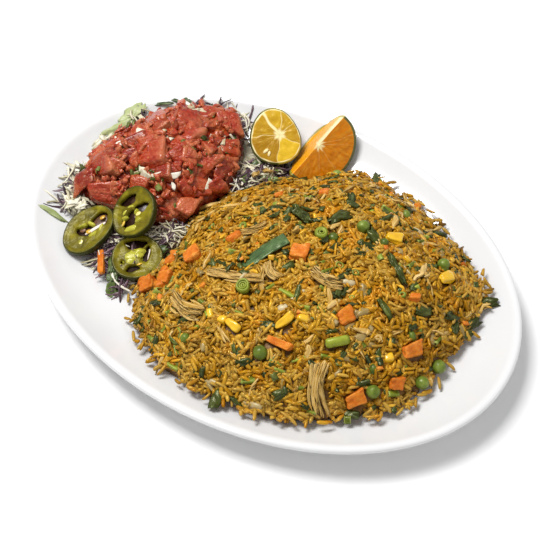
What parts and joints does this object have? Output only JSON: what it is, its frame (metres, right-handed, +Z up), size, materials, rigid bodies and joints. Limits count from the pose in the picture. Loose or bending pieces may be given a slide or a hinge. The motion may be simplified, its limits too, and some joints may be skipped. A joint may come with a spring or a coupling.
{
  "type": "plate of chicken and rice",
  "caption": "Plated rice dish: an oval coupe platter under a mound of seasoned rice with chicken and vegetables, a bed of cabbage and tomato salsa, sliced chilli and cut citrus.",
  "frame": {"origin": "on the table, under the middle of the platter", "axes": "+X along the platter's long axis towards the rice, +Y towards the citrus, +Z up"},
  "size_m": [0.3556, 0.256, 0.0575],
  "materials": {
    "porcelain": "white glazed porcelain, high gloss",
    "rice": "moist long-grain rice, golden brown, satin",
    "cabbage": "raw shredded cabbage, white and purple, satin",
    "tomato": "wet chopped tomato, glossy",
    "chilli": "pickled green chilli, wet, glossy",
    "citrus": "juicy citrus flesh in a thin green skin, glossy",
    "leaf": "cooked dark green leaf, satin",
    "scallion": "cooked green onion, glossy",
    "chicken": "pulled cooked chicken, fibrous, satin",
    "carrot": "cooked diced carrot, satin",
    "pea": "cooked green pea, satin gloss",
    "corn": "sweetcorn kernel, glossy"
  },
  "bodies": {
    "root": {"platter": "porcelain", "rice_mound": "rice", "cabbage_bed": "cabbage", "tomato_salsa": "tomato", "chilli_slice_left": "chilli", "chilli_slice_top": "chilli", "chilli_slice_front": "chilli", "citrus_half": "citrus", "citrus_wedge": "citrus", "leek_leaf": "leaf", "dark_leaf_back": "leaf", "dark_leaf_left": "leaf", "dark_leaf_right": "leaf", "scallion_blade": "leaf", "scallion_leaf": "scallion", "scallion_round": "scallion", "scallion_slice": "scallion", "scallion_tube": "scallion", "chicken_long": "chicken", "chicken_left": "chicken", "chicken_front": "chicken", "chicken_flake": "chicken", "chicken_thin": "chicken", "chicken_fold": "chicken", "carrot_top": "carrot", "carrot_left": "carrot", "carrot_low": "carrot", "carrot_edge": "carrot", "carrot_middle": "carrot", "carrot_right": "carrot", "carrot_front": "carrot", "carrot_low_right": "carrot", "carrot_shred": "carrot", "pea_front": "pea", "pea_right": "pea", "pea_low_right": "pea", "pea_back": "pea", "pea_low": "pea", "pea_far": "pea", "corn_left": "corn", "corn_middle": "corn", "corn_right": "corn", "corn_back": "corn"}
  },
  "joints": []
}
